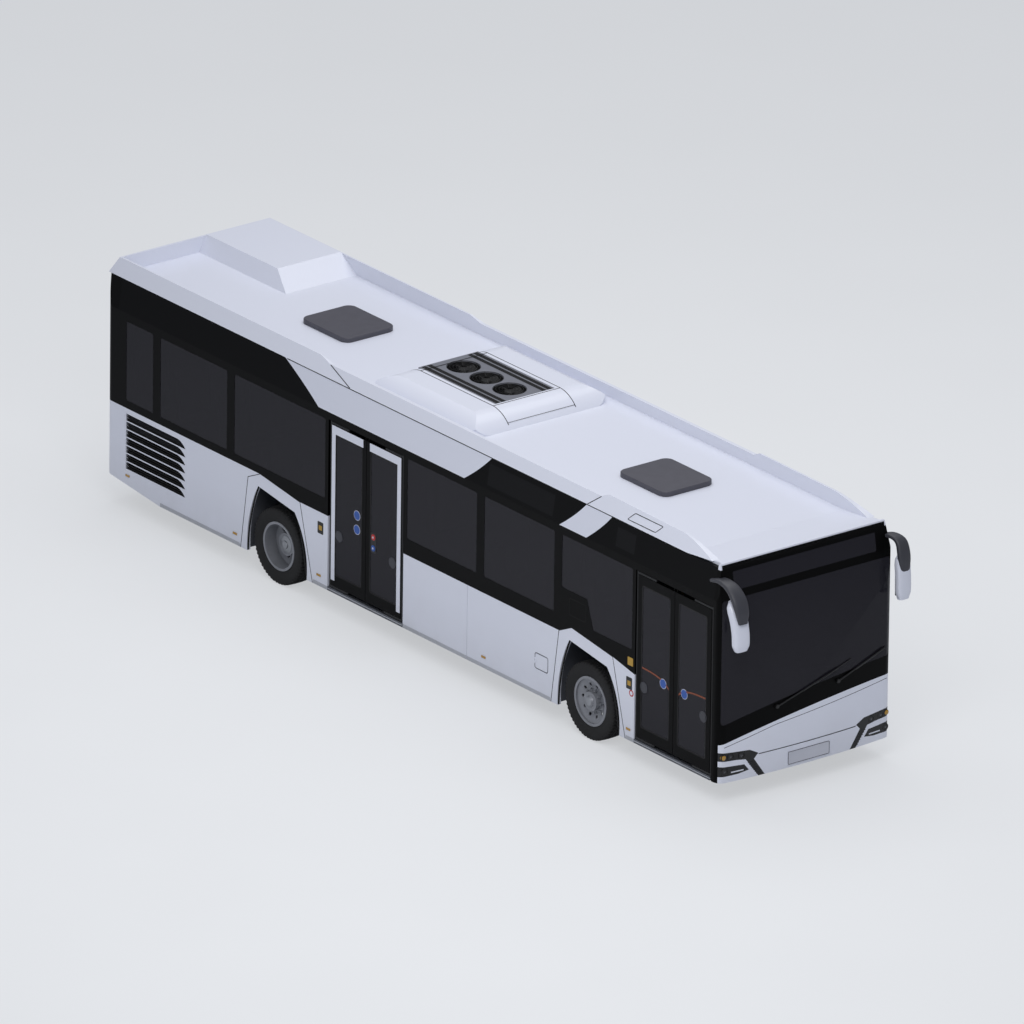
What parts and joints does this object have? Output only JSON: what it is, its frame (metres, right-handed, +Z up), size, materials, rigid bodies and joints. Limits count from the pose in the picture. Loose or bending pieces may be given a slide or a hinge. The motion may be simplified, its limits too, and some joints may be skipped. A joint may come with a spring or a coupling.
{
  "type": "low-floor passenger bus",
  "caption": "Low-floor single-deck passenger bus with double doors on one side, a roof air conditioner, tall roof fairings and large tinted side windows.",
  "frame": {"origin": "on the ground under the middle of the overall box, mirrors included", "axes": "+Z up, the bus drives towards -Y, its doors are on the -X side"},
  "size_m": [2.744, 12.339, 3.1209],
  "materials": {
    "white_paint": "gloss",
    "black_paint": "gloss",
    "cantrail_paint": "gloss",
    "trim_plastic": "matte",
    "dark_glass": "gloss",
    "lamp_glass": "gloss",
    "amber_lens": "gloss",
    "red_lens": "gloss",
    "roof_paint": "satin",
    "hatch_plastic": "satin",
    "grille_plate": "satin",
    "fan_plastic": "matte",
    "floor_panel": "matte",
    "frame_steel": "matte",
    "cast_steel": "matte",
    "rubber": "matte",
    "wheel_steel": "satin",
    "seat_fabric": "matte",
    "rail_steel": "satin",
    "cab_plastic": "matte",
    "mirror_plastic": "gloss"
  },
  "bodies": {
    "body": {"floor": "floor_panel", "underframe": "frame_steel", "right_wall": "black_paint", "left_wall": "black_paint", "right_skirt": "white_paint", "left_skirt": "white_paint", "arch_trims": "white_paint", "cantrails": "cantrail_paint", "front_frame": "black_paint", "front_mask": "white_paint", "lamp_housings": "trim_plastic", "clear_lamps": "lamp_glass", "amber_lamps": "amber_lens", "front_glass": "dark_glass", "saloon_windows": "dark_glass", "rear_frame": "black_paint", "rear_panel": "white_paint", "red_lamps": "red_lens", "roof": "roof_paint", "roof_covers": "roof_paint", "ac_housing": "roof_paint", "ac_grille": "grille_plate", "axles": "cast_steel", "engine": "cast_steel", "driveline": "cast_steel", "passenger_seats": "seat_fabric", "handrails": "rail_steel", "driver_seat": "seat_fabric", "driver_cab": "cab_plastic", "wipers": "trim_plastic", "mirrors": "mirror_plastic"},
    "engine_flap": {"engine_flap": "white_paint"},
    "fuel_flap": {"fuel_flap": "white_paint"},
    "hatch_front": {"hatch_front": "hatch_plastic"},
    "hatch_rear": {"hatch_rear": "hatch_plastic"},
    "fan_1": {"fan_1": "fan_plastic"},
    "fan_2": {"fan_2": "fan_plastic"},
    "fan_3": {"fan_3": "fan_plastic"},
    "front_left_knuckle": {"front_left_knuckle": "cast_steel"},
    "front_left_wheel": {"front_left_tyre": "rubber", "front_left_rim": "wheel_steel"},
    "rear_left_wheels": {"rear_left_tyres": "rubber", "rear_left_rims": "wheel_steel"},
    "front_right_knuckle": {"front_right_knuckle": "cast_steel"},
    "front_right_wheel": {"front_right_tyre": "rubber", "front_right_rim": "wheel_steel"},
    "rear_right_wheels": {"rear_right_tyres": "rubber", "rear_right_rims": "wheel_steel"},
    "door1_front_arm": {"door1_front_arm": "frame_steel"},
    "door1_front_leaf": {"door1_front_leaf": "black_paint", "door1_front_glass": "dark_glass"},
    "door1_rear_arm": {"door1_rear_arm": "frame_steel"},
    "door1_rear_leaf": {"door1_rear_leaf": "black_paint", "door1_rear_glass": "dark_glass"},
    "door2_front_arm": {"door2_front_arm": "frame_steel"},
    "door2_front_leaf": {"door2_front_leaf": "black_paint", "door2_front_glass": "dark_glass"},
    "door2_rear_arm": {"door2_rear_arm": "frame_steel"},
    "door2_rear_leaf": {"door2_rear_leaf": "black_paint", "door2_rear_glass": "dark_glass"}
  },
  "joints": [
    {"name": "steer_left", "type": "hinge", "parent": "body", "child": "front_left_knuckle", "pos_m": [0.93, -3.275, 0.479], "axis": [0, 0, 1], "range_deg": [-40, 40]},
    {"name": "front_left_wheel_spin", "type": "hinge", "parent": "front_left_knuckle", "child": "front_left_wheel", "pos_m": [1.098, -3.275, 0.479], "axis": [1, 0, 0], "continuous": true},
    {"name": "rear_left_wheels_spin", "type": "hinge", "parent": "body", "child": "rear_left_wheels", "pos_m": [1.098, 2.747, 0.479], "axis": [1, 0, 0], "continuous": true},
    {"name": "steer_right", "type": "hinge", "parent": "body", "child": "front_right_knuckle", "pos_m": [-0.93, -3.275, 0.479], "axis": [0, 0, 1], "range_deg": [-40, 40]},
    {"name": "front_right_wheel_spin", "type": "hinge", "parent": "front_right_knuckle", "child": "front_right_wheel", "pos_m": [-1.098, -3.275, 0.479], "axis": [1, 0, 0], "continuous": true},
    {"name": "rear_right_wheels_spin", "type": "hinge", "parent": "body", "child": "rear_right_wheels", "pos_m": [-1.098, 2.747, 0.479], "axis": [1, 0, 0], "continuous": true},
    {"name": "door1_front_arm_turn", "type": "hinge", "parent": "body", "child": "door1_front_arm", "pos_m": [-1.253, -5.609, 0.3], "axis": [0, 0, -1], "range_deg": [0, 82]},
    {"name": "door1_front_leaf_turn", "type": "hinge", "parent": "door1_front_arm", "child": "door1_front_leaf", "pos_m": [-1.253, -5.2705, 0.3], "axis": [0, 0, 1], "range_deg": [0, 164]},
    {"name": "door1_rear_arm_turn", "type": "hinge", "parent": "body", "child": "door1_rear_arm", "pos_m": [-1.253, -4.195, 0.3], "axis": [0, 0, 1], "range_deg": [0, 82]},
    {"name": "door1_rear_leaf_turn", "type": "hinge", "parent": "door1_rear_arm", "child": "door1_rear_leaf", "pos_m": [-1.253, -4.5335, 0.3], "axis": [0, 0, -1], "range_deg": [0, 164]},
    {"name": "door2_front_arm_turn", "type": "hinge", "parent": "body", "child": "door2_front_arm", "pos_m": [-1.253, 0.288, 0.3], "axis": [0, 0, -1], "range_deg": [0, 82]},
    {"name": "door2_front_leaf_turn", "type": "hinge", "parent": "door2_front_arm", "child": "door2_front_leaf", "pos_m": [-1.253, 0.6215, 0.3], "axis": [0, 0, 1], "range_deg": [0, 164]},
    {"name": "door2_rear_arm_turn", "type": "hinge", "parent": "body", "child": "door2_rear_arm", "pos_m": [-1.253, 1.682, 0.3], "axis": [0, 0, 1], "range_deg": [0, 82]},
    {"name": "door2_rear_leaf_turn", "type": "hinge", "parent": "door2_rear_arm", "child": "door2_rear_leaf", "pos_m": [-1.253, 1.3485, 0.3], "axis": [0, 0, -1], "range_deg": [0, 164]},
    {"name": "engine_flap_lift", "type": "hinge", "parent": "body", "child": "engine_flap", "pos_m": [0, 6.165, 1.284], "axis": [1, 0, 0], "range_deg": [0, 80]},
    {"name": "fuel_flap_turn", "type": "hinge", "parent": "body", "child": "fuel_flap", "pos_m": [-1.275, -2.298, 0.6945], "axis": [0, 0, -1], "range_deg": [0, 110]},
    {"name": "hatch_front_lift", "type": "hinge", "parent": "body", "child": "hatch_front", "pos_m": [0, -2.634, 2.9243], "axis": [-1, 0, 0], "range_deg": [0, 25]},
    {"name": "hatch_rear_lift", "type": "hinge", "parent": "body", "child": "hatch_rear", "pos_m": [0, 3.484, 2.9243], "axis": [-1, 0, 0], "range_deg": [0, 25]},
    {"name": "fan_1_spin", "type": "hinge", "parent": "body", "child": "fan_1", "pos_m": [0, -0.106, 3.066], "axis": [0, 0, 1], "continuous": true},
    {"name": "fan_2_spin", "type": "hinge", "parent": "body", "child": "fan_2", "pos_m": [0, 0.338, 3.066], "axis": [0, 0, 1], "continuous": true},
    {"name": "fan_3_spin", "type": "hinge", "parent": "body", "child": "fan_3", "pos_m": [0, 0.782, 3.066], "axis": [0, 0, 1], "continuous": true}
  ],
  "couplings": [
    {"joint": "steer_right", "follows": "steer_left", "ratio": 1},
    {"joint": "door1_front_leaf_turn", "follows": "door1_front_arm_turn", "ratio": 2},
    {"joint": "door1_rear_leaf_turn", "follows": "door1_rear_arm_turn", "ratio": 2},
    {"joint": "door2_front_leaf_turn", "follows": "door2_front_arm_turn", "ratio": 2},
    {"joint": "door2_rear_leaf_turn", "follows": "door2_rear_arm_turn", "ratio": 2}
  ]
}
